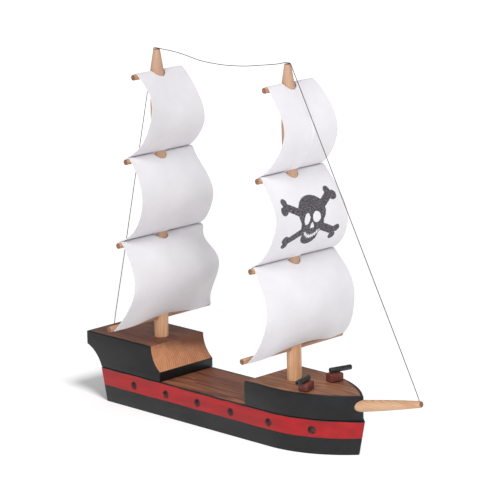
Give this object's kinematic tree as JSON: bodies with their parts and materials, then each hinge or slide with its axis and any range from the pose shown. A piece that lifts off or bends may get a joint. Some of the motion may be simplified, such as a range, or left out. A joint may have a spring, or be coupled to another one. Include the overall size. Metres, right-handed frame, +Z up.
{
  "type": "toy boat",
  "caption": "Wooden toy pirate ship: painted plank hull with raised ends, dowel masts that turn in their sockets, cloth sails, bowsprit, deck cannons and rigging thread.",
  "frame": {"origin": "middle of the hull's flat bottom, which the ship rests on", "axes": "+X towards the bow and the bowsprit, +Y to port, +Z up along the masts"},
  "size_m": [0.2914, 0.0975, 0.2562],
  "materials": {
    "painted_hull": "satin paint, red upper band over a black lower band",
    "black_paint": "satin black paint on the sides, brown stain on top",
    "dowel_wood": "bare, lightly oiled dowel",
    "sail_cloth": "matt white stiffened cloth",
    "carriage_paint": "reddish brown stain",
    "barrel_paint": "satin black paint",
    "thread": "dark grey twisted thread"
  },
  "bodies": {
    "hull": {"hull_board": "painted_hull", "poop_block": "black_paint", "forecastle_block": "black_paint", "bowsprit": "dowel_wood", "cannon_carriage_port": "carriage_paint", "cannon_carriage_starboard": "carriage_paint", "cannon_barrel_port": "barrel_paint", "cannon_barrel_starboard": "barrel_paint", "rigging_thread": "thread"},
    "main_mast": {"main_mast": "dowel_wood", "main_yard_1": "dowel_wood", "main_yard_2": "dowel_wood", "main_yard_3": "dowel_wood", "main_yard_4": "dowel_wood", "main_sail_lower": "sail_cloth", "main_sail_middle": "sail_cloth", "main_sail_top": "sail_cloth"},
    "fore_mast": {"fore_mast": "dowel_wood", "fore_yard_1": "dowel_wood", "fore_yard_2": "dowel_wood", "fore_yard_3": "dowel_wood", "fore_yard_4": "dowel_wood", "fore_sail_lower": "sail_cloth", "fore_sail_middle": "sail_cloth", "fore_sail_top": "sail_cloth"}
  },
  "joints": [
    {"name": "main_mast_turn", "type": "hinge", "parent": "hull", "child": "main_mast", "pos_m": [-0.07868, 0, 0.048], "axis": [0.0087, 0, 1], "range_deg": [-50, 50]},
    {"name": "fore_mast_turn", "type": "hinge", "parent": "hull", "child": "fore_mast", "pos_m": [0.05011, 0, 0.041], "axis": [-0.0145, 0, 0.9999], "range_deg": [-25, 25]}
  ]
}
